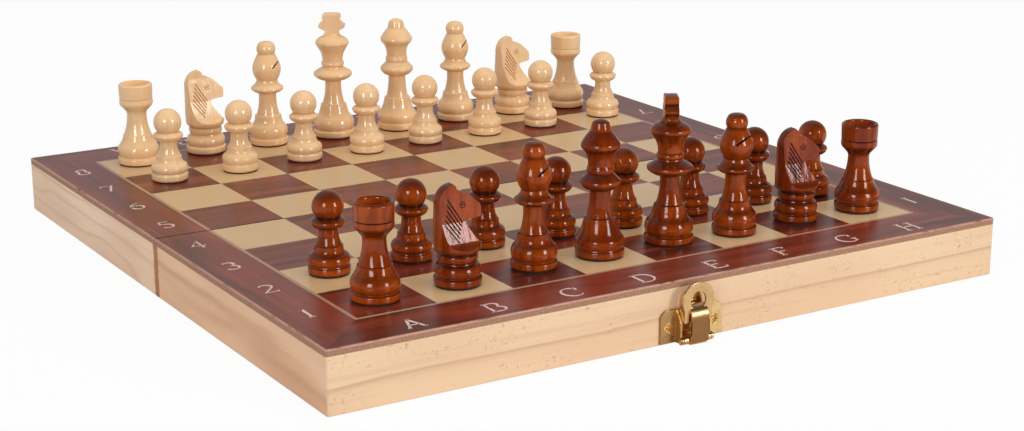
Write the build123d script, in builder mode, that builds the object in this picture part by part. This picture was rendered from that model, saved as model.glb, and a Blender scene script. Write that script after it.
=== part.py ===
from build123d import *

import math
import os

# A folding chess box, open flat as a board, with its thirty-two turned pieces standing on it.
#
# Frame: X runs from file a to file h, Y from rank 1 to rank 8, Z up. The origin is the centre
# of the open board's footprint, on the plane of the rims that it lies on. Millimetres.

os.makedirs("parts", exist_ok=True)

# ---- Box ----
board_side = 290.0  # open board, both ways
box_height = 23.0  # one half, from its rim to the playing face
panel_thickness = 2.5
rail_thickness = 9.0
seam_gap = 0.5  # between the two halves when they lie open
closing_gap = 0.2  # between the two rims when the box is shut
corner_radius = 1.0  # outer upright corners
edge_radius = 0.4  # worn edges of the panels and rims
border = 23.0  # round the field of squares

# ---- Hinges ----
hinge_spacing = 180.0
hinge_length = 30.0
leaf_thickness = 0.6
leaf_margin = 1.5  # wood left beside the leaf on a rim
pin_radius = 0.6
knuckle_count = 5
knuckle_gap = 0.2  # end to end, between neighbours
running_fit = 0.05  # radial, a pin in its knuckle
turning_room = 0.2  # round a knuckle, to the wood and to the other leaf
mortise_fit = 0.1
hinge_screw_radius = 0.7
hinge_screw_length = 6.0
hinge_screw_spacing = 10.0

# ---- Catch, on the outer face of the front half ----
catch_x = -1.5
plate_width = 26.5
plate_foot = 0.6  # its lower edge, over the rim
plate_head = 12.8
plate_thickness = 1.0
plate_corner = 3.0
tongue_width = 8.8  # between the lever's flanges, behind its hole
tongue_head = 18.6
cheek_spacing = 12.0  # clear width between the two cheeks
cheek_thickness = 0.9
catch_pivot_out = 4.0  # the cross pin, out from the face and over the rim
catch_pivot_up = 1.7
barrel_radius = 1.45
catch_pin_radius = 0.6
catch_pin_head_radius = 1.0
catch_pin_head = 0.4
lever_thickness = 0.9
strap_width = 7.2
strap_out = 6.6  # the strap's outer face
strap_corner = 0.9
dome_top = 14.5
dome_radius = 4.4
tab_out = 5.0  # the round tab's outer face
tab_radius = 6.7
tab_centre_up = 16.1
tab_hole_radius = 3.4
tab_neck_foot = 8.4
flange_spacing = 10.0  # clear width between the tab's two side flanges
flange_thickness = 0.8
side_room = 0.2
catch_screw_spacing = 20.4
catch_screw_up = 6.4
catch_screw_radius = 0.8
catch_screw_dome = 0.4
catch_screw_cover = 2.5  # wood left behind its tip

# ---- Keeper, on the outer face of the back half ----
keeper_height = 12.0
keeper_foot = 7.0
keeper_thickness = 0.8
nub_width = 3.6
nub_height = 2.6
nub_corner = 0.6
nub_edge = 0.5
nub_past_tab = 0.4  # how far it stands through the shut tab
nub_room = 0.4  # from the shut strap's dome

# ---- Chess pieces ----
piece_scale = 1.0  # sizes the whole set
felt_thickness = 0.6
felt_inset = 0.7

square = (board_side - 2 * border) / 8
rail_height = box_height - panel_thickness
half_side = board_side / 2
fold_height = -closing_gap / 2
knuckle_radius = pin_radius + leaf_thickness
leaf_width = rail_thickness - leaf_margin
leaf_edge = knuckle_radius + 0.75 * turning_room
leaf_screw_y = (leaf_edge + leaf_width) / 2
hinge_screw_head = hinge_screw_radius + leaf_thickness
knuckle_length = (hinge_length - (knuckle_count - 1) * knuckle_gap) / knuckle_count
catch_screw_length = rail_thickness - catch_screw_cover
catch_screw_head = catch_screw_radius + plate_thickness
keeper_screw_head = catch_screw_radius + keeper_thickness
screw_fit = 0.02
lap = 0.1  # how far shapes that are joined into one piece run into each other
front, back = -1, 1
ends = (-1, 1)


def save(part, name):
    part.label = name
    export_step(part, f"parts/{name}.step")


# ---------------------------------------------------------------------------------------------
# Rails: each half is a tray of four mitred rails under a thin printed panel.


def rail_outlines(side):
    """The four mitred rails of a half, as plan outlines by name. side is -1 front, 1 back."""
    outer_y, seam_y = side * half_side, side * seam_gap / 2
    outer = [(-half_side, outer_y), (half_side, outer_y), (half_side, seam_y), (-half_side, seam_y)]
    reach = half_side - rail_thickness
    deep_y, near_y = outer_y - side * rail_thickness, seam_y + side * rail_thickness
    inner = [(-reach, deep_y), (reach, deep_y), (reach, near_y), (-reach, near_y)]
    names = ("rail", "right_rail", "seam_rail", "left_rail")
    return {
        name: [outer[i], outer[(i + 1) % 4], inner[(i + 1) % 4], inner[i]]
        for i, name in enumerate(names)
    }


def mitred_rail(outline):
    """One rail, its mitres cut, and the box's rounded upright corners taken off it."""
    with BuildPart() as rail:
        with BuildSketch(Plane.XY):
            with BuildLine():
                Polyline(*outline, close=True)
            make_face()
        extrude(amount=rail_height)
        with BuildSketch(Plane.XY):
            RectangleRounded(board_side, board_side, corner_radius)
        extrude(amount=rail_height, mode=Mode.INTERSECT)
    return rail.part


def hinge_mortises(side):
    """Cuts, in the seam rail being built, for both leaves, their knuckles and their screws."""
    with Locations(*[(end * hinge_spacing / 2, 0, 0) for end in ends]):
        reach = leaf_width + mortise_fit
        Box(
            hinge_length + 2 * mortise_fit,
            2 * reach,
            leaf_thickness,
            align=(Align.CENTER, Align.CENTER, Align.MIN),
            mode=Mode.SUBTRACT,
        )
        with Locations((0, 0, fold_height)):
            Cylinder(
                knuckle_radius + turning_room,
                hinge_length + 2 * mortise_fit,
                rotation=(0, 90, 0),
                mode=Mode.SUBTRACT,
            )
        for step in (-1, 0, 1):
            with Locations((step * hinge_screw_spacing, side * leaf_screw_y, 0)):
                Cylinder(
                    hinge_screw_radius + screw_fit,
                    hinge_screw_length + screw_fit,
                    align=(Align.CENTER, Align.CENTER, Align.MIN),
                    mode=Mode.SUBTRACT,
                )


def face_screw_holes(side, height):
    """Pilot holes for a catch plate's two screws, in the outer rail being built."""
    depth = catch_screw_length + screw_fit
    with Locations(
        *[
            (catch_x + end * catch_screw_spacing / 2, side * (half_side - depth / 2), height)
            for end in ends
        ]
    ):
        Cylinder(catch_screw_radius + screw_fit, depth, rotation=(90, 0, 0), mode=Mode.SUBTRACT)


keeper_screw_up = keeper_foot + keeper_height / 2

for half, side, screw_up in (("front", front, catch_screw_up), ("back", back, keeper_screw_up)):
    for name, outline in rail_outlines(side).items():
        with BuildPart() as rail:
            add(mitred_rail(outline))
            if name == "seam_rail":
                hinge_mortises(side)
            else:
                rim = rail.faces().sort_by(Axis.Z)[0]
                fillet(rim.edges().sort_by(SortBy.LENGTH)[-1], edge_radius)
            if name == "rail":
                face_screw_holes(side, screw_up)
        save(rail.part, f"{half}_{name}")

    # The panel carries the printed board and covers its tray out to the rails' faces.
    panel_depth = half_side - seam_gap / 2
    with BuildPart() as panel:
        with BuildSketch(Plane.XY.offset(rail_height)):
            with Locations((0, side * (seam_gap / 2 + panel_depth / 2))):
                Rectangle(board_side, panel_depth)
            RectangleRounded(board_side, board_side, corner_radius, mode=Mode.INTERSECT)
        extrude(amount=panel_thickness)
        face = panel.faces().sort_by(Axis.Z)[-1]
        fillet(face.edges(), edge_radius)
    save(panel.part, f"{half}_panel")


# ---------------------------------------------------------------------------------------------
# Hinges: two butt hinges let into the rims of the seam rails.


def knuckle_places(own):
    """Middles of the knuckles along the pin that a leaf carries: 0 the even ones, 1 the odd."""
    pitch = knuckle_length + knuckle_gap
    first = -(knuckle_count - 1) / 2 * pitch
    return [first + i * pitch for i in range(knuckle_count) if i % 2 == own]


def hinge_leaf(x, side, own):
    """One leaf, let in flush with its rim, with its own knuckles and three countersunk holes."""
    with BuildPart() as leaf:
        with BuildSketch(Plane.XY):
            with Locations((x, side * (leaf_edge + leaf_width) / 2)):
                Rectangle(hinge_length, leaf_width - leaf_edge)
            for place in knuckle_places(own):
                with Locations((x + place, side * leaf_edge / 2)):
                    Rectangle(knuckle_length, leaf_edge + lap)
        extrude(amount=leaf_thickness)
        for place in knuckle_places(own):
            with Locations((x + place, 0, fold_height)):
                Cylinder(knuckle_radius, knuckle_length, rotation=(0, 90, 0))
        with Locations((x, 0, fold_height)):
            Cylinder(
                pin_radius + running_fit, 2 * hinge_length, rotation=(0, 90, 0), mode=Mode.SUBTRACT
            )
        for step in (-1, 0, 1):
            with Locations((x + step * hinge_screw_spacing, side * leaf_screw_y, leaf_thickness / 2)):
                Cone(
                    hinge_screw_head + screw_fit,
                    hinge_screw_radius + screw_fit,
                    leaf_thickness,
                    mode=Mode.SUBTRACT,
                )
    return leaf.part


def cross_recess(reach, depth):
    """The cross cut in a screw's head, its mouth at z = 0."""
    with BuildPart(mode=Mode.PRIVATE) as cut:
        with BuildSketch(Plane.XY.offset(-reach)):
            Rectangle(2 * reach, reach / 2)
            Rectangle(reach / 2, 2 * reach)
        extrude(amount=reach + depth)
    return cut.part


def wood_screw(head_radius, shank_radius, head_height, length, dome):
    """A countersunk cross-head screw along +Z, its head's rim at z = 0 and its tip above."""
    tip = 1.5 * shank_radius
    recess_reach, recess_depth = 0.6 * head_radius, dome + 0.6 * head_height
    with BuildPart() as screw:
        with BuildSketch(Plane.XZ):
            with BuildLine():
                if dome:
                    crown = (head_radius**2 + dome**2) / (2 * dome)
                    RadiusArc((0, -dome), (head_radius, 0), crown)
                else:
                    Line((0, 0), (head_radius, 0))
                Polyline(
                    (head_radius, 0),
                    (shank_radius, head_height),
                    (shank_radius, length - tip),
                    (0, length),
                    (0, -dome),
                )
            make_face()
        revolve(axis=Axis.Z)
        with Locations((0, 0, -dome)):
            add(cross_recess(recess_reach, recess_depth), mode=Mode.SUBTRACT)
    return screw.part


for name, end in (("left", -1), ("right", 1)):
    x = end * hinge_spacing / 2
    save(hinge_leaf(x, front, 0), f"{name}_hinge_front_leaf")
    save(hinge_leaf(x, back, 1), f"{name}_hinge_back_leaf")
    with BuildPart() as pin:
        with Locations((x, 0, fold_height)):
            Cylinder(pin_radius, hinge_length, rotation=(0, 90, 0))
    save(pin.part, f"{name}_hinge_pin")

hinge_screw = wood_screw(
    hinge_screw_head, hinge_screw_radius, leaf_thickness, hinge_screw_length, dome=0
)
for half, side in (("front", front), ("back", back)):
    with BuildPart() as screws:
        with Locations(
            *[
                (end * hinge_spacing / 2 + step * hinge_screw_spacing, side * leaf_screw_y, 0)
                for end in ends
                for step in (-1, 0, 1)
            ]
        ):
            add(hinge_screw)
    save(screws.part, f"{half}_hinge_screws")


# ---------------------------------------------------------------------------------------------
# Catch: a lever that stands up against the front face and flips over the rim, through half a
# turn, to snap on the keeper. On these planes the first number is the distance out of the face
# or along X, and the second is the height over the rim.

front_face = Plane(origin=(catch_x, -half_side, 0), x_dir=(1, 0, 0), z_dir=(0, -1, 0))
catch_side = Plane(origin=(catch_x, -half_side, 0), x_dir=(0, -1, 0), z_dir=(-1, 0, 0))
back_face = Plane(origin=(catch_x, half_side, 0), x_dir=(-1, 0, 0), z_dir=(0, 1, 0))


def screw_plate(plane, width, foot, head, thickness, screw_up, screw_head):
    """A plate flat on a face: two ears with rounded tops and a countersunk hole in each."""
    with BuildPart() as plate:
        with BuildSketch(plane):
            with Locations((0, (foot + head) / 2)):
                outline = Rectangle(width, head - foot)
            fillet(outline.vertices().sort_by(Axis.Y)[-2:], plate_corner)
        extrude(amount=thickness)
        for end in ends:
            with Locations(plane.offset(thickness / 2)):
                with Locations((end * catch_screw_spacing / 2, screw_up)):
                    Cone(
                        catch_screw_radius + screw_fit,
                        screw_head + screw_fit,
                        thickness,
                        mode=Mode.SUBTRACT,
                    )
    return plate.part


def face_screws(plane, thickness, screw_up, screw_head):
    """The two screws that hold a plate to a face."""
    screw = wood_screw(
        screw_head, catch_screw_radius, thickness, catch_screw_length + thickness, catch_screw_dome
    )
    inward = Plane(plane.offset(thickness).origin, x_dir=plane.x_dir, z_dir=-plane.z_dir)
    with BuildPart() as screws:
        for end in ends:
            with Locations(inward):
                with Locations((end * catch_screw_spacing / 2, -screw_up)):
                    add(screw)
    return screws.part


pivot = (catch_pivot_out, catch_pivot_up)
cheek_inner = cheek_spacing / 2
with BuildPart() as catch_plate:
    add(
        screw_plate(
            front_face,
            plate_width,
            plate_foot,
            plate_head,
            plate_thickness,
            catch_screw_up,
            catch_screw_head,
        )
    )
    with BuildSketch(front_face):
        with Locations((0, (plate_head - lap + tongue_head) / 2)):
            tongue = Rectangle(tongue_width, tongue_head - plate_head + lap)
        fillet(tongue.vertices().sort_by(Axis.Y)[-2:], plate_corner)
    extrude(amount=plate_thickness)
    cheek_front = tab_out - lever_thickness - side_room
    cheek_root = plate_thickness - lap
    for end in ends:
        start = end * cheek_inner if end < 0 else cheek_inner + cheek_thickness
        with BuildSketch(catch_side.offset(start)):
            with BuildLine():
                Polyline(
                    (cheek_root, plate_foot),
                    (catch_pivot_out, plate_foot),
                    (cheek_front, tab_neck_foot),
                    (cheek_root, plate_head),
                    close=True,
                )
            make_face()
            with Locations(pivot):
                Circle(barrel_radius)
                Circle(catch_pin_radius + screw_fit, mode=Mode.SUBTRACT)
        extrude(amount=-cheek_thickness)
save(catch_plate.part, "catch_plate")

with BuildPart() as catch_pin:
    pin_reach = cheek_inner + cheek_thickness
    with BuildSketch(catch_side.offset(-pin_reach)):
        with Locations(pivot):
            Circle(catch_pin_radius)
    extrude(amount=2 * pin_reach)
    for start, amount in ((-pin_reach, -catch_pin_head), (pin_reach, catch_pin_head)):
        with BuildSketch(catch_side.offset(start)):
            with Locations(pivot):
                Circle(catch_pin_head_radius)
        extrude(amount=amount)
save(catch_pin.part, "catch_pin")

save(face_screws(front_face, plate_thickness, catch_screw_up, catch_screw_head), "catch_screws")

# The lever is bent from one strip: barrel, strap and dome, then the round tab, whose hole the
# dome curls into.
with BuildPart() as catch_lever:
    web_foot = catch_pivot_up - barrel_radius
    web_top = web_foot + lever_thickness
    strap_back = strap_out - lever_thickness
    dome_centre = (strap_out - dome_radius, dome_top - dome_radius)
    dome_sweep = 92
    tab_back = tab_out - lever_thickness
    with BuildSketch(catch_side):
        with BuildLine():
            outer_dome = CenterArc(dome_centre, dome_radius, 0, dome_sweep)
            inner_dome = CenterArc(dome_centre, dome_radius - lever_thickness, 0, dome_sweep)
            Line(outer_dome @ 1, inner_dome @ 1)
            Polyline(
                inner_dome @ 0,
                (strap_back, web_top),
                (catch_pivot_out, web_top),
                (catch_pivot_out, web_foot),
                (strap_out - strap_corner, web_foot),
            )
            bend_end = (strap_out, web_foot + strap_corner)
            RadiusArc((strap_out - strap_corner, web_foot), bend_end, strap_corner)
            Line(bend_end, outer_dome @ 0)
        make_face()
    extrude(amount=strap_width / 2, both=True)
    with BuildSketch(catch_side):
        with Locations(pivot):
            Circle(barrel_radius)
    extrude(amount=cheek_inner - side_room, both=True)
    with BuildSketch(front_face.offset(tab_back)):
        with Locations((0, tab_centre_up)):
            Circle(tab_radius)
        with Locations((0, (tab_neck_foot + tab_centre_up) / 2)):
            Rectangle(flange_spacing + 2 * flange_thickness, tab_centre_up - tab_neck_foot)
        with Locations((0, tab_centre_up)):
            Circle(tab_hole_radius, mode=Mode.SUBTRACT)
    extrude(amount=lever_thickness)
    flange_back = plate_thickness + 2 * side_room
    flange_slope, flange_rise = 1.0, 2.0
    tab_mid = tab_out - lever_thickness / 2
    for end in ends:
        start = end * flange_spacing / 2 if end < 0 else flange_spacing / 2 + flange_thickness
        with BuildSketch(catch_side.offset(start)):
            with BuildLine():
                Polyline(
                    (tab_mid, tab_neck_foot),
                    (flange_back, tab_neck_foot + flange_slope),
                    (flange_back, plate_head + side_room),
                    (tab_mid, tab_centre_up + flange_rise),
                    close=True,
                )
            make_face()
        extrude(amount=-flange_thickness)
    with BuildSketch(catch_side):
        with Locations(pivot):
            Circle(catch_pin_radius + running_fit)
    extrude(amount=cheek_inner, both=True, mode=Mode.SUBTRACT)
save(catch_lever.part, "catch_lever")

# The keeper mirrors the flipped lever: its nub stands in the tab's hole, just past the dome.
shut_dome_top = 2 * fold_height - (2 * catch_pivot_up - dome_top)
shut_tab_out = 2 * catch_pivot_out - tab_back
nub_foot = shut_dome_top + nub_room
nub_out = shut_tab_out + nub_past_tab
with BuildPart() as keeper_plate:
    add(
        screw_plate(
            back_face,
            plate_width,
            keeper_foot,
            keeper_foot + keeper_height,
            keeper_thickness,
            keeper_screw_up,
            keeper_screw_head,
        )
    )
    with BuildSketch(back_face.offset(keeper_thickness / 2)):
        with Locations((0, nub_foot + nub_height / 2)):
            RectangleRounded(nub_width, nub_height, nub_corner)
    nub = extrude(amount=nub_out - keeper_thickness / 2)
    fillet(nub.faces().sort_by(Axis.Y)[-1].edges(), nub_edge)
save(keeper_plate.part, "keeper_plate")
save(face_screws(back_face, keeper_thickness, keeper_screw_up, keeper_screw_head), "keeper_screws")


# ---------------------------------------------------------------------------------------------
# Chess pieces. An outline runs up a turned piece from the edge of its sole to its top, as
# (radius, height) points. A pair of points is an arc, through the first and to the second, and
# more are a smooth curve through them all. The last step is a round cap, up to its height.


foot_radius = {
    "pawn": 7.7,
    "rook": 8.85,
    "knight": 8.65,
    "bishop": 8.55,
    "queen": 9.15,
    "king": 9.3,
}


def foot(kind, groove, bulge, bulge_mid, shoulder):
    """The sole's rounded rim, the groove over it and the swelling up to the shoulder."""
    radius, sole = foot_radius[kind], felt_thickness
    rim_top, rim_round, rim_tuck = 3.4, 0.9, 0.45
    return [
        (radius - rim_tuck, sole),
        ((radius - 0.1, sole + 0.45), (radius, sole + rim_round)),
        (radius, rim_top - rim_round),
        ((radius - 0.1, rim_top - 0.35), (radius - rim_tuck, rim_top)),
        (groove, rim_top + 0.25),
        (groove, rim_top + 0.5),
        ((bulge, bulge_mid), shoulder),
    ]


pawn_outline = [
    *foot("pawn", 7.15, 7.65, 5.2, (6.95, 7.3)),
    ((5.75, 8.2), (5.3, 9.5)),
    (5.2, 10.6),
    (4.8, 10.9),
    ((3.95, 13.0), (3.65, 16.9)),
    ((5.1, 17.4), (6.0, 18.5)),
    ((6.25, 19.3), (5.9, 20.0)),
    (4.35, 21.0),
    30.5,
]

rook_outline = [
    *foot("rook", 8.2, 8.75, 5.7, (7.9, 8.8)),
    ((6.8, 10.6), (6.15, 12.8)),
    (5.8, 13.1),
    ((4.6, 17.2), (4.15, 21.5)),
    ((4.25, 22.6), (4.6, 23.4)),
    (6.2, 25.2),
    ((6.95, 26.2), (7.1, 27.4)),
    (7.0, 28.4),
    (6.75, 28.7),
    (7.0, 29.0),
    ((7.12, 31.8), (7.15, 34.0)),
    ((7.0, 34.8), (6.4, 35.2)),
    ((5.9, 35.0), (5.65, 34.5)),
    (5.3, 31.8),
    31.2,
]

knight_foot_outline = [
    *foot("knight", 7.95, 8.4, 5.4, (7.6, 7.8)),
    (6.6, 8.35),
    (6.5, 8.7),
    ((7.15, 9.9), (7.1, 11.3)),
    (6.6, 12.0),
    ((7.9, 12.8), (8.35, 14.6)),
    (8.5, 17.5),
    (8.4, 29.5),
    ((7.6, 33.7), (5.2, 36.1)),
    37.1,
]

bishop_outline = [
    *foot("bishop", 7.95, 8.45, 5.6, (7.6, 8.9)),
    ((6.5, 10.2), (6.05, 11.7)),
    (5.8, 13.2),
    (5.15, 13.5),
    ((4.25, 17.0), (3.95, 23.5)),
    ((5.7, 24.0), (6.95, 24.9)),
    ((7.15, 25.6), (6.8, 26.3)),
    ((5.5, 27.3), (4.8, 28.6)),
    (4.6, 29.3),
    ((5.85, 31.8), (6.3, 34.4), (5.3, 38.0), (4.1, 40.5)),
    (3.65, 41.1),
    ((4.2, 42.9), (3.8, 44.7)),
    ((3.3, 45.6), (2.2, 46.3)),
    46.6,
]

queen_outline = [
    *foot("queen", 8.6, 9.05, 5.2, (8.85, 7.2)),
    ((7.3, 9.7), (6.4, 12.2)),
    (5.8, 14.8),
    (4.95, 15.1),
    ((4.25, 19.0), (3.9, 25.2)),
    ((5.8, 25.8), (7.1, 27.1)),
    ((7.5, 28.1), (7.2, 29.1)),
    (5.2, 31.1),
    (4.75, 31.5),
    ((5.0, 32.7), (4.7, 33.8)),
    (4.55, 34.2),
    ((4.75, 36.8), (5.6, 39.2)),
    (6.7, 40.5),
    ((7.25, 41.6), (7.05, 42.7)),
    ((5.7, 44.8), (4.2, 46.7)),
    (3.8, 47.1),
    ((3.55, 48.6), (3.1, 50.1)),
    51.2,
]

king_outline = [
    *foot("king", 8.65, 9.15, 5.9, (8.3, 9.0)),
    ((6.95, 10.6), (6.3, 12.6)),
    (5.75, 14.9),
    (5.05, 15.3),
    ((4.0, 19.2), (3.7, 26.0)),
    ((6.3, 26.6), (8.2, 27.9)),
    ((8.65, 28.9), (8.3, 29.8)),
    (6.3, 31.1),
    (4.8, 31.9),
    (4.65, 32.4),
    ((5.15, 33.5), (4.75, 34.6)),
    (4.55, 34.9),
    ((4.75, 37.0), (5.5, 39.2)),
    (7.2, 42.1),
    ((7.55, 43.0), (7.3, 43.9)),
    ((6.4, 44.9), (5.1, 45.7)),
    ((3.9, 46.4), (3.3, 47.5)),
    48.0,
]


def cap_arc(start, top):
    """An arc from start to the axis at height top, about a centre on the axis."""
    centre = (top**2 - start[1] ** 2 - start[0] ** 2) / (2 * (top - start[1]))
    reach = top - centre
    half_turn = math.atan2(start[0], (start[1] - centre) * math.copysign(1, reach)) / 2
    middle = (abs(reach) * math.sin(half_turn), centre + reach * math.cos(half_turn))
    ThreePointArc(start, middle, (0, top))


def turned(outline):
    """The solid that an outline sweeps about Z, down to the felt."""
    *steps, top = outline
    with BuildPart() as body:
        with BuildSketch(Plane.XZ):
            with BuildLine():
                here = (0, felt_thickness)
                for step in steps:
                    if not isinstance(step[0], tuple):
                        step = (step,)
                    if len(step) == 1:
                        Line(here, *step)
                    elif len(step) == 2:
                        ThreePointArc(here, *step)
                    else:
                        Spline(here, *step)
                    here = step[-1]
                cap_arc(here, top)
                Line((0, top), (0, felt_thickness))
            make_face()
        revolve(axis=Axis.Z)
    return body.part


def carved_bishop():
    """The mitre's slot is one saw cut, slanting down from the piece's +X side."""
    slot_width, slot_angle = 0.8, 42
    with BuildPart() as bishop:
        add(turned(bishop_outline))
        with Locations(Location((6.0, 0, 38.6), (0, -slot_angle, 0))):
            Box(10.0, 16.0, slot_width, mode=Mode.SUBTRACT)
    return bishop.part


def carved_king():
    """A flat cross, pointed at its arms, stands on the turned body."""
    cross_thickness, cross_foot, cross_top = 5.2, 45.0, 56.5
    with BuildPart() as cross:
        with BuildSketch(Plane.XZ.offset(-cross_thickness / 2)):
            with BuildLine():
                Polyline((3.3, cross_foot), (3.1, 47.4), (2.8, 48.5), (5.55, 50.0))
                ThreePointArc((5.55, 50.0), (5.95, 50.7), (5.6, 51.5))
                Line((5.6, 51.5), (3.5, 53.0))
                ThreePointArc((3.5, 53.0), (4.05, 54.8), (3.7, 56.1))
                mirror(about=Plane.YZ)
                ThreePointArc((3.7, 56.1), (0, cross_top), (-3.7, 56.1))
                Line((-3.3, cross_foot), (3.3, cross_foot))
            make_face()
        extrude(amount=cross_thickness)
        with BuildSketch(Plane.YZ.offset(-8)):
            with Locations((0, (cross_foot + cross_top) / 2)):
                side_view = Rectangle(cross_thickness, cross_top - cross_foot)
            fillet(side_view.vertices().sort_by(Axis.Y)[-2:], 1.0)
        extrude(amount=16, mode=Mode.INTERSECT)
    with BuildPart() as king:
        add(turned(king_outline))
        add(cross)
    return king.part


def carved_knight():
    """A turned blank, sawn to the head's profile, hollowed on both sides and cut with a mane."""
    head_foot = 13.2
    mane_cuts, mane_width, mane_depth = 6, 0.55, 0.5
    eye, eye_depth = (0.7, 29.3), 0.5
    cheek_top, cheek_middle, cheek_foot = (2.0, 33.5), (2.8, 27.0), (3.2, 23.4)
    neck_middle, neck_foot = (4.3, 19.9), (5.6, 16.5)
    flare_middle, flare_end = (6.8, 15.0), (8.9, 14.0)

    def hollow(depth):
        """A side's hollow: upright beside the head, sloping at the neck, flared at its foot."""
        outline = (cheek_top, cheek_middle, cheek_foot, neck_middle, neck_foot)
        brow, cheek, throat, waist, neck, flare, rim = [
            (across - depth, up) for across, up in (*outline, flare_middle, flare_end)
        ]
        with BuildSketch(Plane.YZ.offset(-12)) as side:
            with BuildLine():
                Polyline((12, 40), (brow[0], 40), brow, cheek, throat)
                ThreePointArc(throat, waist, neck)
                ThreePointArc(neck, flare, rim)
                Polyline(rim, (12, rim[1]), (12, 40))
            make_face()
            mirror(about=Plane.YZ)
        return side.sketch

    with BuildPart() as knight:
        add(turned(knight_foot_outline))
        # What the saw takes off in front of the face, throat and chest.
        with BuildSketch(Plane.XZ.offset(-15)):
            with BuildLine():
                Line((-2.4, 40.0), (-2.4, 36.8))
                ThreePointArc((-2.4, 36.8), (-1.7, 36.2), (-1.3, 35.3))
                ThreePointArc((-1.3, 35.3), (-1.0, 34.5), (-0.3, 34.1))
                ThreePointArc((-0.3, 34.1), (2.7, 33.1), (5.3, 31.0))
                Line((5.3, 31.0), (7.7, 28.8))
                ThreePointArc((7.7, 28.8), (8.1, 27.2), (7.8, 25.0))
                ThreePointArc((7.8, 25.0), (7.5, 24.5), (6.9, 24.4))
                Line((6.9, 24.4), (2.9, 24.0))
                ThreePointArc((2.9, 24.0), (1.9, 23.3), (2.0, 22.1))
                ThreePointArc((2.0, 22.1), (4.2, 18.2), (7.6, 14.5))
                Polyline((7.6, 14.5), (7.6, head_foot), (14, head_foot), (14, 40.0))
                Line((14, 40.0), (-2.4, 40.0))
            make_face()
        extrude(amount=30, mode=Mode.SUBTRACT)
        extrude(hollow(0), amount=24, mode=Mode.SUBTRACT)
    # Mane: parallel saw cuts into each side, down from the nape towards the chest.
    with BuildPart() as mane:
        for row in range(mane_cuts):
            nape = Vector(-5.0 - 0.36 * row, 0, 31.6 - 1.7 * row)
            chest = Vector(0.2 - 0.48 * row, 0, 23.2 - 1.3 * row)
            cut = chest - nape
            lean = math.degrees(math.atan2(-cut.Z, cut.X))
            with Locations(Location(tuple((nape + chest) / 2), (0, lean, 0))):
                Box(cut.length, 24, mane_width)
        extrude(hollow(mane_depth), amount=24, mode=Mode.INTERSECT)
    with BuildPart() as carved:
        add(knight)
        add(mane, mode=Mode.SUBTRACT)
        for end in ends:
            # Eye: a ring cut round a drilled pupil.
            slope = (cheek_top[0] - cheek_middle[0]) / (cheek_top[1] - cheek_middle[1])
            face = cheek_middle[0] + slope * (eye[1] - cheek_middle[1])
            socket = (eye[0], end * (face - eye_depth), eye[1])
            with BuildSketch(Plane(origin=socket, z_dir=(0, end, 0))):
                Circle(1.15)
                Circle(0.85, mode=Mode.SUBTRACT)
                Circle(0.35)
            extrude(amount=2 * eye_depth, mode=Mode.SUBTRACT)
    return carved.part


wood = {
    "pawn": turned(pawn_outline),
    "rook": turned(rook_outline),
    "knight": carved_knight(),
    "bishop": carved_bishop(),
    "queen": turned(queen_outline),
    "king": carved_king(),
}


def with_felt(kind):
    """A piece and the felt disc glued under it, at the set's scale, standing on z = 0."""
    with BuildPart() as disc:
        Cylinder(
            foot_radius[kind] - felt_inset,
            felt_thickness,
            align=(Align.CENTER, Align.CENTER, Align.MIN),
        )
    return [scale(solid, piece_scale, mode=Mode.PRIVATE) for solid in (wood[kind], disc.part)]


# Where each piece stands, in squares from the board's centre, and how it is turned in degrees.
file_names = "abcdefgh"
white_row = [
    ("rook", -3.53, 3.66, 0),
    ("knight", -2.46, 3.77, 0),
    ("bishop", -1.48, 3.74, -22),
    ("king", -0.44, 3.68, -31),
    ("queen", 0.60, 3.62, 0),
    ("bishop", 1.64, 3.67, -22),
    ("knight", 2.65, 3.64, 5),
    ("rook", 3.58, 3.55, 0),
]
brown_row = [
    ("rook", -3.53, -3.54, 0),
    ("knight", -2.46, -3.53, 0),
    ("bishop", -1.38, -3.45, -40),
    ("queen", -0.45, -3.45, 0),
    ("king", 0.59, -3.42, 59),
    ("bishop", 1.52, -3.52, -60),
    ("knight", 2.54, -3.47, -5),
    ("rook", 3.52, -3.51, 0),
]
white_pawns = [
    (-3.51, 2.56),
    (-2.47, 2.54),
    (-1.44, 2.62),
    (-0.46, 2.58),
    (0.53, 2.63),
    (1.55, 2.63),
    (2.54, 2.64),
    (3.72, 2.70),
]
brown_pawns = [
    (-3.53, -2.38),
    (-2.45, -2.41),
    (-1.41, -2.37),
    (-0.42, -2.43),
    (0.54, -2.50),
    (1.58, -2.50),
    (2.62, -2.49),
    (3.50, -2.60),
]
sets = (("white", white_row, white_pawns), ("brown", brown_row, brown_pawns))

for colour, row, pawns in sets:
    stood = [*zip(file_names, row)]
    stood += [(file, ("pawn", across, along, 0)) for file, (across, along) in zip(file_names, pawns)]
    for file, (kind, across, along, turn) in stood:
        place = Location((across * square, along * square, box_height), (0, 0, turn))
        solids = [solid.moved(place) for solid in with_felt(kind)]
        alone = kind in ("king", "queen")
        name = f"{colour}_{kind}" if alone else f"{colour}_{kind}_{file}"
        save(Compound(children=solids), name)
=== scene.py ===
import math

import bpy
from mathutils import Matrix, Vector


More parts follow.
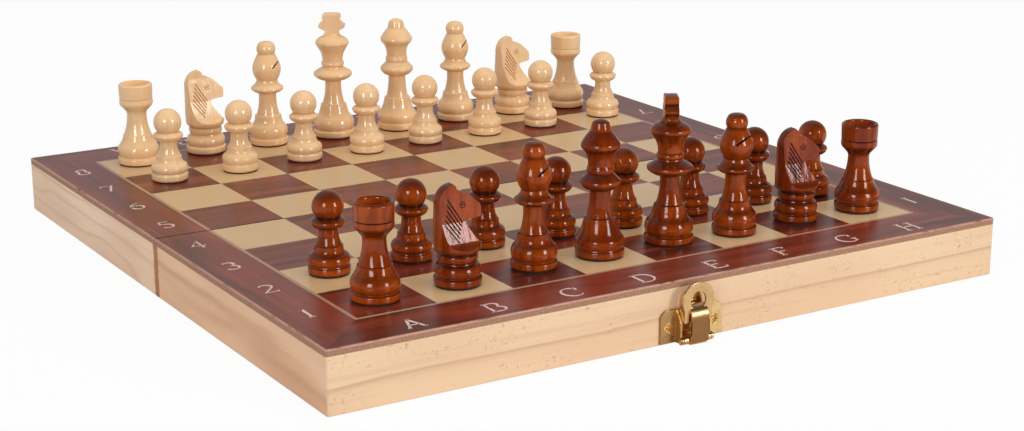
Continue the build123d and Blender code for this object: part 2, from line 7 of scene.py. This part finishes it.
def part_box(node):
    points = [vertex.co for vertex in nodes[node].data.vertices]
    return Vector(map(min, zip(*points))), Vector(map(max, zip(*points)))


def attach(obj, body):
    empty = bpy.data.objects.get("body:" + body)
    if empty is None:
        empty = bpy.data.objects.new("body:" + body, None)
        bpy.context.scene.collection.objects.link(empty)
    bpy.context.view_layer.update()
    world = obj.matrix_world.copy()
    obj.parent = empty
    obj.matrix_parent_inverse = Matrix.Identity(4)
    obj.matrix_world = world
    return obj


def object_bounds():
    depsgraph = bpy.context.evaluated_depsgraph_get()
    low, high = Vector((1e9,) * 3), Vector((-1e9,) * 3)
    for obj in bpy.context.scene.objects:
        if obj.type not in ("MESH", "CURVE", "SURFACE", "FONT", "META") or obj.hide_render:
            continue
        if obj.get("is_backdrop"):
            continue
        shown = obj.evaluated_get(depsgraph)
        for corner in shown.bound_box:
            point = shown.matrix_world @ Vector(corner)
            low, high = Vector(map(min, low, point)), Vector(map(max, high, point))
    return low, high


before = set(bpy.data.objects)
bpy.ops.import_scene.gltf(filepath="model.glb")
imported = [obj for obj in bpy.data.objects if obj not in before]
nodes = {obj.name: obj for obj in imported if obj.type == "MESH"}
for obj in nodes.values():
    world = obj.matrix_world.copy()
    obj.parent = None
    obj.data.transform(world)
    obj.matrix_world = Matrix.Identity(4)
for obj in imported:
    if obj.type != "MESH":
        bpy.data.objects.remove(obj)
cad_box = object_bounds()

# The viewpoint: standing a little to the left of the front edge and looking down across the
# open board, with a lens of about twice the normal length, so that the far side stays large.
mm = 0.001
view_azimuth = math.radians(-31.37)
view_elevation = math.radians(16.006)
view_distance = 834.0 * mm
view_right = 11.0 * mm
view_up = 9.95 * mm
view_roll = math.radians(-0.08)
view_lens = 70.38

backwards = Vector(
    (
        math.sin(view_azimuth) * math.cos(view_elevation),
        -math.cos(view_azimuth) * math.cos(view_elevation),
        math.sin(view_elevation),
    )
)
turn = (-backwards).to_track_quat("-Z", "Y").to_matrix() @ Matrix.Rotation(view_roll, 3, "Z")
camera = bpy.data.objects.new("camera", bpy.data.cameras.new("camera"))
camera.data.lens = view_lens
nearest, farthest = 0.02, 20.0
camera.data.clip_start, camera.data.clip_end = nearest, farthest
camera.matrix_world = Matrix.Translation(
    backwards * view_distance + turn @ Vector((view_right, view_up, 0))
) @ turn.to_4x4()
bpy.context.scene.collection.objects.link(camera)
bpy.context.scene.camera = camera

# The studio: a white table, a small lamp at the right and a fainter one at the viewer's left,
# large soft ones over and beside the board, and two that only show in the gloss.
bpy.context.scene.view_settings.view_transform = "Standard"


class Field:
    """A number, colour or vector that varies over a finish. Sums on it add Math nodes."""

    def __init__(self, tree, socket=None):
        self.tree, self.socket = tree, socket

    def node(self, kind, settings=(), values=(), output=0):
        """A node of any kind: its settings first, then what its sockets hold."""
        made = self.tree.nodes.new("ShaderNode" + kind)
        for key, value in dict(settings).items():
            setattr(made, key, value)
        for key, value in dict(values).items():
            if isinstance(value, Field):
                self.tree.links.new(value.socket, made.inputs[key])
            else:
                made.inputs[key].default_value = value
        return Field(self.tree, made.outputs[output] if made.outputs else None)

    def sum(self, operation, *values):
        return self.node("Math", {"operation": operation}, dict(enumerate(values)))

    def __add__(self, other):
        return self.sum("ADD", self, other)

    def __sub__(self, other):
        return self.sum("SUBTRACT", self, other)

    def __rsub__(self, other):
        return self.sum("SUBTRACT", other, self)

    def __mul__(self, other):
        return self.sum("MULTIPLY", self, other)

    def __truediv__(self, other):
        return self.sum("DIVIDE", self, other)

    def __pow__(self, other):
        return self.sum("POWER", self, other)

    def __gt__(self, other):
        return self.sum("GREATER_THAN", self, other)

    def __lt__(self, other):
        return self.sum("LESS_THAN", self, other)

    def __abs__(self):
        return self.sum("ABSOLUTE", self)

    __radd__, __rmul__ = __add__, __mul__

    def over(self, under, upper):
        """The colour under where this mask is 0, and upper where it is 1."""
        return self.node("Mix", {"data_type": "RGBA"}, {0: self, 6: under, 7: upper}, 2)

    def ramp(self, low, high):
        """0 below low and 1 above high, with a soft slope between."""
        settings = {"interpolation_type": "SMOOTHSTEP"}
        return self.node("MapRange", settings, {0: self, 1: low, 2: high, 3: 0.0, 4: 1.0})

    def stretched(self, scale, shift=(0, 0, 0)):
        return self.node("VectorMath", {"operation": "MULTIPLY_ADD"}, {0: self, 1: scale, 2: shift})

    def noise(self, detail=2.0, distortion=0.0):
        values = {"Vector": self, "Scale": 1.0, "Detail": detail, "Distortion": distortion}
        return self.node("TexNoise", {}, values)


def colour(red, green, blue):
    """A colour as it looks on a screen, from 0 to 255, as the shaders want it."""
    levels = [level / 255 for level in (red, green, blue)]
    linear = [c / 12.92 if c < 0.04045 else ((c + 0.055) / 1.055) ** 2.4 for c in levels]
    return (*linear, 1.0)


def blank_finish(name):
    material = bpy.data.materials.new(name)
    material.use_nodes = True
    material.node_tree.nodes.clear()
    return material, Field(material.node_tree)


floor_size = 6.0
floor_seen = 0.06  # how much of the table the eye sees, over the white beyond it
floor_finish, field = blank_finish("table")
eye = field.node("LightPath", output="Is Camera Ray")
# Light and sight pass the table from below, so what hangs lower than its plane stays lit.
shade = field.node("LightPath", output="Is Shadow Ray")
underside = field.node("NewGeometry", output="Backfacing")
table_white = field.node("BsdfDiffuse", {}, {"Color": colour(236, 236, 234)})
clear = field.node("BsdfTransparent")
passing = eye * (1 - floor_seen) + shade + underside
shown = field.node("MixShader", {}, {0: passing, 1: table_white, 2: clear})
field.node("OutputMaterial", {}, {"Surface": shown})
floor_mesh = bpy.data.meshes.new("table")
half_floor = floor_size / 2
floor_mesh.from_pydata(
    [(x * half_floor, y * half_floor, 0) for x, y in ((-1, -1), (1, -1), (1, 1), (-1, 1))],
    [],
    [(0, 1, 2, 3)],
)
floor_mesh.materials.append(floor_finish)
table = bpy.data.objects.new("table", floor_mesh)
bpy.context.scene.collection.objects.link(table)
table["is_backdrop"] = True

# White all round for the eye. Polished surfaces mirror a pale wall behind the board and a
# dimmer room before it.
world = bpy.data.worlds.new("studio")
world.use_nodes = True
world.node_tree.nodes.clear()
sky = Field(world.node_tree)
ambient, wall, room = 0.38, 0.50, 0.05
seen, mirrored, through = [
    sky.node("LightPath", output=f"Is {kind} Ray") for kind in ("Camera", "Glossy", "Transmission")
]
heading = sky.node("TexCoord", output="Generated")
behind = sky.node("SeparateXYZ", {}, {0: heading}, 1).ramp(-0.3, 0.5)
brightness = ambient + (1 - ambient) * (seen + through)
brightness = brightness + (behind * (wall - room) + (room - ambient)) * mirrored
background = sky.node("Background", {}, {"Color": colour(255, 255, 255), "Strength": brightness})
sky.node("OutputWorld", {}, {"Surface": background})
bpy.context.scene.world = world


def lamp(name, azimuth, elevation, distance, size, watts, lights=True):
    """A lamp that faces the board's middle. It either lights things or shows in their gloss."""
    light = bpy.data.lights.new(name, "AREA")
    light.shape = "RECTANGLE"
    light.size, light.size_y = size
    light.energy = watts
    made = bpy.data.objects.new(name, light)
    made.visible_glossy = not lights
    made.visible_diffuse = lights
    around, up = math.radians(azimuth), math.radians(elevation)
    away = Vector(
        (math.sin(around) * math.cos(up), -math.cos(around) * math.cos(up), math.sin(up))
    )
    made.location = away * distance
    made.rotation_euler = (-away).to_track_quat("-Z", "Y").to_euler()
    bpy.context.scene.collection.objects.link(made)


lamp("key_lamp", 24, 15, 1.5, (0.22, 0.26), 6.2)
lamp("eye_lamp", -49, 18, 1.5, (0.30, 0.34), 2.8)
lamp("side_lamp", -85, 30, 1.8, (1.5, 1.0), 2.4)
lamp("top_lamp", 10, 80, 1.6, (1.3, 1.1), 11.5)
lamp("key_glint", 22, 17, 1.5, (0.34, 0.62), 11.0, lights=False)
lamp("eye_glint", -52, 20, 1.5, (0.44, 0.60), 10.0, lights=False)

# The rails: planed pine, mitred and glued at the corners into two shallow trays. The wood is
# bare, pale on its flat-sawn front, with a few long growth lines and scattered resin pits.


seam_band_width, seam_band_ragged = 0.7, 3.0  # how far the browner band painted beside the seam reaches, and how ragged it is


def principled(field, material, values):
    shader = field.node("BsdfPrincipled", {}, values)
    field.node("OutputMaterial", {}, {"Surface": shader})
    return material


def pine(name, along, tint, shift, rings, pitted):
    """Flat-sawn pine with its grain along X (0) or Y (1), cut elsewhere for each shift."""
    material, field = blank_finish(name)
    place = field.node("TexCoord", output="Object").stretched((1000, 1000, 1000))
    split = [place.node("SeparateXYZ", {}, {0: place}, i) for i in range(3)]
    lengthways, up, inward = split[along], split[2], split[1 - along]
    place = place.stretched((1, 1, 1), shift)

    def grain(slow, fast, detail, distortion=0.0, moved=(0, 0, 0)):
        scale = [fast, fast, fast]
        scale[along] = slow
        return place.stretched(scale, moved).noise(detail, distortion)

    start, rate, lean, wander, sharpness, fade, shade = rings
    drift = grain(0.008, 0.05, 2.0, 0.3, (3.1, 1.7, 0.4))
    fibres = grain(0.03, 0.9, 3.0)
    ring = (up - lengthways * lean) * rate + inward * 0.03 + drift * wander + fibres * 0.05
    ring = ring + start
    saw = ring.sum("FRACT", ring)
    late = (saw ** sharpness) * (1 - saw.ramp(1 - fade, 0.99))
    streaks = grain(0.014, 0.5, 1.0, 0.0, (9, 4, 2))
    blotches = grain(0.012, 0.035, 1.0, 0.0, (1, 8, 3))
    clusters = grain(0.05, 0.12, 2.0, 0.0, (5, 5, 5)).ramp(0.40, 0.58)
    pits = grain(0.55, 0.95, 1.0, 1.0, (2, 6, 4)).ramp(0.60, 0.72) * clusters
    pale, warm, dark = tint
    base = (blotches.ramp(0.35, 0.65) * 0.45).over(pale, warm)
    base = (late * 0.8).over(base, warm)
    base = (late.ramp(0.25, 0.75) * shade).over(base, dark)
    base = ((fibres - 0.5) * 0.7).over(base, warm)
    base = (streaks.ramp(0.52, 0.75) * 0.15).over(base, dark)
    base = (pits * pitted).over(base, dark)
    # Where the two halves meet, a ragged band beside the seam is painted browner.
    ragged = place.stretched((0.8, 0.8, 0.8)).noise(2.0)
    seam_band = abs(split[1]) < ragged * seam_band_ragged + seam_band_width
    base = (seam_band * 0.85).over(base, colour(176, 110, 62))
    values = {"Height": fibres * 0.3 - pits * 0.3, "Strength": 0.25, "Distance": 0.2 * mm}
    bumped = field.node("Bump", {}, values)
    return principled(
        field,
        material,
        {"Base Color": base, "Roughness": 0.62, "Specular IOR Level": 0.35, "Normal": bumped},
    )


def finish(material, *names):
    for name in names:
        nodes[name].material_slots[0].material = material


front_tint = (colour(238, 205, 167), colour(228, 186, 150), colour(186, 138, 104))
near_tint = (colour(244, 202, 166), colour(214, 160, 124), colour(196, 140, 104))
far_tint = (colour(252, 220, 192), colour(232, 192, 162), colour(196, 152, 124))
# Growth lines: where they start, lines to a millimetre, lean, wander, sharpness, fade and shade.
front_rings = (0.67, 0.045, 0.004, 0.30, 8.0, 0.06, 0.48)
back_rings = (0, 0.06, -0.02, 1.0, 3.0, 0.10, 0.45)
near_rings = (0.3, 0.06, 0.05, 1.8, 1.4, 0.40, 0.52)
far_rings = (0, 0.14, 0.03, 3.5, 2.5, 0.25, 0.40)
pine_front = pine("pine_front", 0, front_tint, (40, 0, 3.5), front_rings, 0.50)
pine_back = pine("pine_back", 0, front_tint, (210, 0, 8), back_rings, 0.4)
pine_near_side = pine("pine_near_side", 1, near_tint, (0, 30, 2), near_rings, 0.1)
pine_far_side = pine("pine_far_side", 1, far_tint, (0, 60, 9), far_rings, 0.1)
finish(pine_front, "front_rail", "front_seam_rail")
finish(pine_back, "back_rail", "back_seam_rail")
finish(pine_near_side, "front_left_rail", "front_right_rail")
finish(pine_far_side, "back_left_rail", "back_right_rail")

# The two panels: thin board, printed with rosewood and beige squares inside a mitred rosewood
# border, under satin lacquer. The brown board shows at its cut edges, with a pale line painted on
# the arris, part wear and part painted highlight, and a dark line of painted shade along the seam.
panel_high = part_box("back_panel")[1]
board_top = panel_high.z / mm
half_board = panel_high.x / mm
border = 23.0
line_width = 1.4
arris_width = 0.6
print_depth = 0.25  # the printed film, over the brown board
half_field = half_board - border
square = half_field / 4


def rosewood(place, lengthways, across, seed):
    """Printed rosewood, grained along the field lengthways, with across at right angles."""
    grain = place.node("CombineXYZ", {}, {0: lengthways, 1: across, 2: seed})
    drift = grain.stretched((0.010, 0.050, 1)).noise(2.0, 0.4)
    bent = grain.node("CombineXYZ", {}, {0: lengthways, 1: across + drift * 16, 2: seed})
    broad = bent.stretched((0.007, 0.080, 1)).noise(2.0)
    streaks = bent.stretched((0.014, 0.34, 1), (0, 7, 0)).noise(3.0)
    hairs = bent.stretched((0.030, 1.3, 1), (3, 0, 0)).noise(2.0)
    flames = bent.stretched((0.018, 0.16, 1), (0, 31, 5)).noise(2.0)
    tone = broad.ramp(0.34, 0.64).over(colour(84, 32, 20), colour(130, 52, 30))
    tone = (flames.ramp(0.52, 0.76) * 0.65).over(tone, colour(162, 66, 48))
    tone = (streaks.ramp(0.50, 0.74) * 0.5).over(tone, colour(66, 26, 18))
    return (hairs.ramp(0.48, 0.72) * 0.25).over(tone, colour(70, 28, 20))


board_print, field = blank_finish("printed_board")
place = field.node("TexCoord", output="Object").stretched((1000, 1000, 1000))
x, y, z = [place.node("SeparateXYZ", {}, {0: place}, i) for i in range(3)]
in_field = (abs(x) < half_field) * (abs(y) < half_field)
file, rank = x / square, y / square
parity = file.sum("FLOOR", file) + rank.sum("FLOOR", rank)
light = parity.sum("PINGPONG", parity, 1.0) * in_field
turned = (abs(x) > abs(y)) * (1 - in_field)
lengthways = x + turned * (y - x)
across = y + turned * (x - y)
wood = rosewood(place, lengthways, across, turned * 3.7 + 1.3)
weave = place.stretched((0.5, 3.0, 1)).noise(2.0)
beige = (weave * 0.22).over(colour(215, 180, 134), colour(202, 162, 116))
reach = x.sum("MAXIMUM", abs(x), abs(y))
on_line = (reach > half_field) * (reach < half_field + line_width)
printed = light.over(wood, beige)
printed = on_line.over(printed, colour(176, 138, 108))
grit = place.stretched((2.2, 2.2, 2.2)).noise(3.0)
wear_and_painted_light_noise = place.stretched((0.16, 0.16, 0.16)).noise(3.0)
core = grit.ramp(0.3, 0.7).over(colour(138, 92, 68), colour(186, 138, 108))
# A pale line painted along the top arris, patchy: part wear, part painted highlight where the
# rounded edge catches the light.
edge = (reach > half_board - arris_width) * (z > board_top - arris_width)
arris = edge * wear_and_painted_light_noise.ramp(0.25, 0.50)
# Painted shade: a thin dark line along the seam, standing in for the shade in the gap between the
# two halves.
seam = abs(y) < wear_and_painted_light_noise * 0.5 + 0.2
on_top = z > board_top - print_depth
surface = on_top.over(core, printed)
surface = (arris * 0.65).over(surface, colour(212, 164, 142))
# The seam's painted shade goes over the print here.
surface = (on_top * seam * 0.8).over(surface, colour(52, 30, 24))
ripple = weave * 0.4 + grit * 0.2
bumped = field.node("Bump", {}, {"Height": ripple, "Strength": 0.08, "Distance": 0.1 * mm})
principled(
    field,
    board_print,
    {
        "Base Color": surface,
        "Roughness": on_top * -0.36 + 0.66,
        "Specular IOR Level": 0.5,
        "Normal": bumped,
    },
)
finish(board_print, "front_panel", "back_panel")

# The file letters and rank numbers: printed in pale pink with a slanted nib, so that upright
# strokes are thick and level ones thin. They face the player on their own side of the board.
print_height = 0.03
cap_height = 8.6
letter_line, letter_pitch = half_board - 8.6, 30.85  # their middles, in from the edge and apart
digit_line, digit_pitch = half_board - 10.8, 31.1
nib_slant = math.radians(22)
nib_thin, nib_thick = 0.40, 1.15


def bow(cx, cy, rx, ry, start, end, steps=14):
    angles = [math.radians(start + (end - start) * i / steps) for i in range(steps + 1)]
    return [(cx + rx * math.cos(a), cy + ry * math.sin(a)) for a in angles]


def foot(x, y, reach=1.2):
    return [(x - reach, y), (x + reach, y)]


def bar(y, start, end):
    return [(start, y), (end, y)]


# Strokes on a body as high as the capitals, about a middle of 0, drawn as lines and bows.
glyphs = {
    "A": [
        [(-3.9, 0), (-1.0, 8.6)], [(-1.0, 8.6), (1.9, 0)],
        bar(2.9, -2.9, 0.9), foot(-3.9, 0.1, 0.8), foot(1.9, 0.1, 0.8),
    ],
    "B": [
        [(-2.2, 0), (-2.2, 8.6)],
        [(-3.2, 8.5), *bow(0.1, 6.6, 2.1, 1.9, 90, -90), (-2.2, 4.7)],
        [(-2.2, 4.7), *bow(0.4, 2.4, 2.7, 2.3, 90, -90), (-3.2, 0.1)],
    ],
    "C": [[*bow(0.3, 4.3, 3.9, 4.2, 48, 315)], [(3.0, 5.9), (3.0, 8.3)]],
    "D": [
        [(-2.7, 0), (-2.7, 8.6)],
        [(-3.7, 8.5), (-0.8, 8.5), *bow(-0.5, 4.3, 4, 4.2, 84, -84), (-0.8, 0.1), (-3.7, 0.1)],
    ],
    "E": [
        [(-2.0, 0), (-2.0, 8.6)],
        bar(8.5, -3.0, 2.6), bar(4.5, -2.0, 1.6), bar(0.1, -3.0, 3.0),
        [(2.5, 8.5), (2.6, 7.2)], [(2.9, 0.1), (3.2, 1.5)],
    ],
    "F": [
        [(-1.7, 0), (-1.7, 8.6)],
        bar(8.5, -2.7, 2.7), bar(4.4, -1.7, 1.7), foot(-1.7, 0.1),
        [(2.6, 8.5), (2.7, 7.1)],
    ],
    "G": [
        [*bow(0.2, 4.3, 3.9, 4.2, 48, 310)],
        [(2.9, 0.9), (2.9, 3.6)], foot(2.9, 3.7), [(2.9, 6.0), (2.9, 8.2)],
    ],
    "H": [
        [(-2.6, 0), (-2.6, 8.6)], [(2.6, 0), (2.6, 8.6)], bar(4.4, -2.6, 2.6),
        foot(-2.6, 0.1), foot(-2.6, 8.5), foot(2.6, 0.1), foot(2.6, 8.5),
    ],
    "1": [[(0.2, 0), (0.2, 8.6), (-1.2, 7.6)], foot(0.2, 0.1)],
    "2": [[*bow(0, 6.3, 2.3, 2.2, 160, -20), (1.3, 4.3), (-2.4, 0.2), (2.6, 0.2), (2.8, 1.2)]],
    "3": [[*bow(-0.3, 6.6, 2.1, 1.9, 150, -80)], [*bow(-0.3, 2.4, 2.6, 2.3, 85, -150)]],
    "4": [[(1.0, 0), (1.0, 8.6), (-2.7, 2.6), (2.7, 2.6)]],
    "5": [[(2.2, 8.4), (-1.6, 8.4), (-1.9, 4.6), *bow(-0.1, 2.7, 2.5, 2.5, 115, -140)]],
    "6": [[(1.9, 8.5), *bow(0.9, 2.7, 3.2, 5.0, 110, 180), *bow(0.1, 2.6, 2.4, 2.5, 180, 540)]],
    "7": [[(-2.4, 7.2), (-2.3, 8.3), (2.5, 8.3), (-0.6, 0)]],
    "8": [[*bow(0, 6.5, 1.9, 2.0, 0, 360)], [*bow(0, 2.4, 2.4, 2.3, 0, 360)]],
}


def nib_stroke(points, put, vertices, faces):
    """Adds a closed strip along the points, as wide as the nib leaves it there."""
    first = len(vertices)
    for i, point in enumerate(points):
        before, after = points[max(i - 1, 0)], points[min(i + 1, len(points) - 1)]
        heading = (Vector(after) - Vector(before)).normalized()
        slant = abs(heading.x * math.sin(nib_slant) - heading.y * math.cos(nib_slant))
        side = Vector((-heading.y, heading.x)) * (nib_thin + (nib_thick - nib_thin) * slant) / 2
        for corner in (Vector(point) + side, Vector(point) - side):
            for height in (print_height, -print_height):
                vertices.append(put(corner.x, corner.y, height))
    for i in range(len(points) - 1):
        a, b = first + 4 * i, first + 4 * i + 4
        faces += [(a, a + 2, b + 2, b), (a + 1, b + 1, b + 3, a + 3)]
        faces += [(a, b, b + 1, a + 1), (a + 2, a + 3, b + 3, b + 2)]
    last = first + 4 * (len(points) - 1)
    faces += [(first, first + 1, first + 3, first + 2), (last, last + 2, last + 3, last + 1)]


print_ink, field = blank_finish("print_ink")
place = field.node("TexCoord", output="Object").stretched((900, 900, 900))
patchy = place.noise(2.0)
principled(
    field,
    print_ink,
    {
        "Base Color": patchy.ramp(0.3, 0.7).over(colour(214, 180, 170), colour(232, 205, 196)),
        "Roughness": 0.42,
    },
)


def printed_marks(half, side):
    """The letters and numbers that one half carries: -1 for the front, 1 for the back."""
    vertices, faces = [], []
    marks = []
    for i, letter in enumerate("ABCDEFGH"):
        marks.append((letter, (i - 3.5) * letter_pitch, side * letter_line, side > 0))
    for i in range(4) if side < 0 else range(4, 8):
        for end in (-1, 1):
            marks.append((str(i + 1), end * digit_line, (i - 3.5) * digit_pitch, end > 0))
    for mark, middle_x, middle_y, about in marks:
        way = -1 if about else 1

        def put(u, v, w):
            return (
                (middle_x + way * u) * mm,
                (middle_y + way * (v - cap_height / 2)) * mm,
                (board_top + w) * mm,
            )

        for points in glyphs[mark]:
            nib_stroke(points, put, vertices, faces)
    mesh = bpy.data.meshes.new(half + "_marks")
    mesh.from_pydata(vertices, [], faces)
    mesh.materials.append(print_ink)
    marks_piece = bpy.data.objects.new(half + "_marks", mesh)
    bpy.context.scene.collection.objects.link(marks_piece)
    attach(marks_piece, half + "_half")


printed_marks("front", -1)
printed_marks("back", 1)

# The metalwork: two butt hinges under the seam, the catch and its keeper, all pressed from
# brass strip, lightly tumbled, with countersunk cross-head screws driven into the pine.


def brass(name, tone, tarnish, roughness, dark_reflection=None):
    """Pressed brass. dark_reflection gives where a dark reflection is painted into the metal's
    colour, as a browner tone.
    """
    material, field = blank_finish(name)
    place = field.node("TexCoord", output="Object").stretched((1000, 1000, 1000))
    clouds = place.stretched((0.35, 0.35, 0.35)).noise(3.0)
    seam_band = place.stretched((9.0, 9.0, 1.2)).noise(2.0)
    rounded = field.node("Bevel", {"samples": 6}, {"Radius": 0.22 * mm})
    values = {"Height": seam_band, "Strength": 0.06, "Distance": 0.05 * mm, "Normal": rounded}
    metal = (clouds.ramp(0.42, 0.72) * 0.6).over(tone, tarnish)
    if dark_reflection:
        # Painted reflection: a browner tone where the polished brass mirrors something dark.
        painted_reflection = dark_reflection(*[place.node("SeparateXYZ", {}, {0: place}, i) for i in range(3)])
        metal = painted_reflection.over(metal, colour(140, 92, 54))
    return principled(
        field,
        material,
        {
            "Base Color": metal,
            "Metallic": 1.0,
            "Roughness": clouds * 0.12 + seam_band * 0.10 + roughness,
            "Normal": field.node("Bump", {}, values),
        },
    )


# Painted reflections: the lever's strap front below its bend and the left wing of the catch plate
# are painted browner, standing in for the dark surroundings the brass mirrors there.
strap_face = -half_board - 6.4  # the lever's strap stands this far out
lever_brass = brass(
    "lever_brass", colour(226, 188, 136), colour(200, 154, 100), 0.14,
    lambda x, y, z: (y < strap_face) * (1 - z.ramp(9.8, 11.6)) * 0.85,
)
plate_brass = brass(
    "plate_brass", colour(240, 208, 150), colour(206, 158, 96), 0.12,
    lambda x, y, z: (1 - x.ramp(-9.0, -5.0)) * 0.60,
)
keeper_brass = brass("keeper_brass", colour(232, 196, 136), colour(204, 156, 94), 0.12)
hinge_brass = brass("hinge_brass", colour(218, 178, 112), colour(184, 138, 80), 0.20)
screw_brass = brass("screw_brass", colour(226, 184, 112), colour(176, 128, 66), 0.14)
finish(lever_brass, "catch_lever")
finish(plate_brass, "catch_plate")
finish(keeper_brass, "catch_pin", "keeper_plate")
finish(screw_brass, "catch_screws", "keeper_screws", "front_hinge_screws", "back_hinge_screws")
for end in ("left", "right"):
    finish(hinge_brass, *[f"{end}_hinge_{part}" for part in ("front_leaf", "back_leaf", "pin")])

# The light men: turned from close pale hardwood and dipped in clear lacquer, with a disc of
# dark felt glued under each. The grain stands upright and shows as faint streaks.
felt_top = board_top + 0.6
carving_foot = board_top + 13.0  # where a knight's turned foot ends and its carved head begins
swell_height, stroke_height = 14, 200  # unevenness under the lacquer, and the sanding strokes


def lacquered(name, tints, contrast, end_stain_and_shade, crevice_stain_and_shade, gloss, sanded=0.0):
    """Turned wood under gloss lacquer, over each man's felt sole. sanded dulls a carved head."""
    material, field = blank_finish(name)
    place = field.node("TexCoord", output="Object").stretched((1000, 1000, 1000))
    height = place.node("SeparateXYZ", {}, {0: place}, 2)
    felt = height < felt_top
    facing = field.node("TexCoord", output="Normal")
    # Faces turned up and down are painted darker: end grain takes more stain, and the mask also
    # paints the shade that tops and undersides get under the low lamps.
    end_grain_and_shade = abs(facing.node("SeparateXYZ", {}, {0: facing}, 2)).ramp(0.10, 0.85)
    # Painted shade: creases and grooves, found by ambient occlusion, are painted darker; on the
    # stained men this is partly stain pooled in them.
    sight = {"samples": 8, "only_local": True}
    openness = field.node("AmbientOcclusion", sight, {"Distance": 1.6 * mm}, "AO")
    crevice = 1 - openness.ramp(0.40, 0.95)
    batch = place.stretched((0.022, 0.022, 0), (7, 3, 5)).noise(1.0).ramp(0.38, 0.62)
    drift = place.stretched((0.07, 0.07, 0.03)).noise(2.0)
    figure = place.stretched((0.30, 0.30, 0.035)).noise(2.0, 0.6)
    fibres = place.stretched((1.8, 1.8, 0.10), (4, 9, 1)).noise(2.0)
    pores = place.stretched((4.5, 4.5, 0.28), (1, 2, 3)).noise(1.0)
    deep, dark, middle, pale = tints
    tone = (drift.ramp(0.36, 0.64) * 0.6 + batch * 0.4).over(middle, pale)
    tone = (figure.ramp(0.45, 0.70) * contrast).over(tone, dark)
    tone = (fibres.ramp(0.45, 0.75) * contrast * 0.5).over(tone, dark)
    tone = (pores.ramp(0.60, 0.72) * contrast * 0.5).over(tone, dark)
    # Partly end-grain stain, partly painted shade on tops and undersides.
    tone = (end_grain_and_shade * end_stain_and_shade).over(tone, deep)
    # Painted shade in the grooves, with pooled stain on the dark men.
    tone = (crevice * crevice_stain_and_shade).over(tone, deep)
    fluff = place.stretched((6, 6, 6)).noise(2.0)
    cloth = fluff.over(colour(24, 16, 13), colour(50, 38, 32))
    dips = place.stretched((0.9, 0.9, 0.5), (2, 5, 8)).noise(2.0)
    swell = place.stretched((0.25, 0.25, 0.20), (6, 1, 9)).noise(1.0)
    strokes = place.stretched((0.6, 0.6, 0.14), (8, 2, 6)).noise(1.0)
    carved = (height > carving_foot) * sanded
    relief = swell * swell_height + dips * 0.6 + fibres * 0.4 + pores * 0.3 + felt * fluff * 3
    relief += carved * strokes * stroke_height
    values = {"Height": relief, "Strength": 0.10, "Distance": 0.1 * mm}
    return principled(
        field,
        material,
        {
            "Base Color": felt.over(tone, cloth),
            "Roughness": felt * 0.6 + crevice * 0.3 + fibres * 0.08 + carved + 0.07,
            "Specular IOR Level": gloss,
            "Normal": field.node("Bump", {}, values),
        },
    )


light_tints = (
    colour(204, 144, 88), colour(228, 178, 126), colour(245, 202, 152), colour(252, 214, 166),
)
light_wood = lacquered("light_wood", light_tints, 0.28, 0.06, 0.50, 0.50)
finish(light_wood, *[name for name in nodes if name.startswith("white_")])

# The knights' heads are sawn and sanded flat by hand, so the lacquer lies over fine strokes
# and shines more softly than on the turned men.
light_carving = lacquered("light_carving", light_tints, 0.28, 0.06, 0.50, 0.46, sanded=0.14)
finish(light_carving, "white_knight_b", "white_knight_g")

# The dark men: the same turned hardwood, stained a warm reddish brown before the lacquer, so
# that the grain stands out darker and the thin places glow orange.
dark_tints = (colour(48, 10, 2), colour(86, 24, 4), colour(132, 46, 5), colour(184, 80, 12))
stained_wood = lacquered("stained_wood", dark_tints, 0.5, 0.75, 0.85, 0.32)
finish(stained_wood, *[name for name in nodes if name.startswith("brown_")])
stained_carving = lacquered("stained_carving", dark_tints, 0.5, 0.75, 0.85, 0.32, sanded=0.07)
finish(stained_carving, "brown_knight_b", "brown_knight_g")

boxes = {"cad": cad_box, "visual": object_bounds()}
{key: [list(corner) for corner in box] for key, box in boxes.items()}
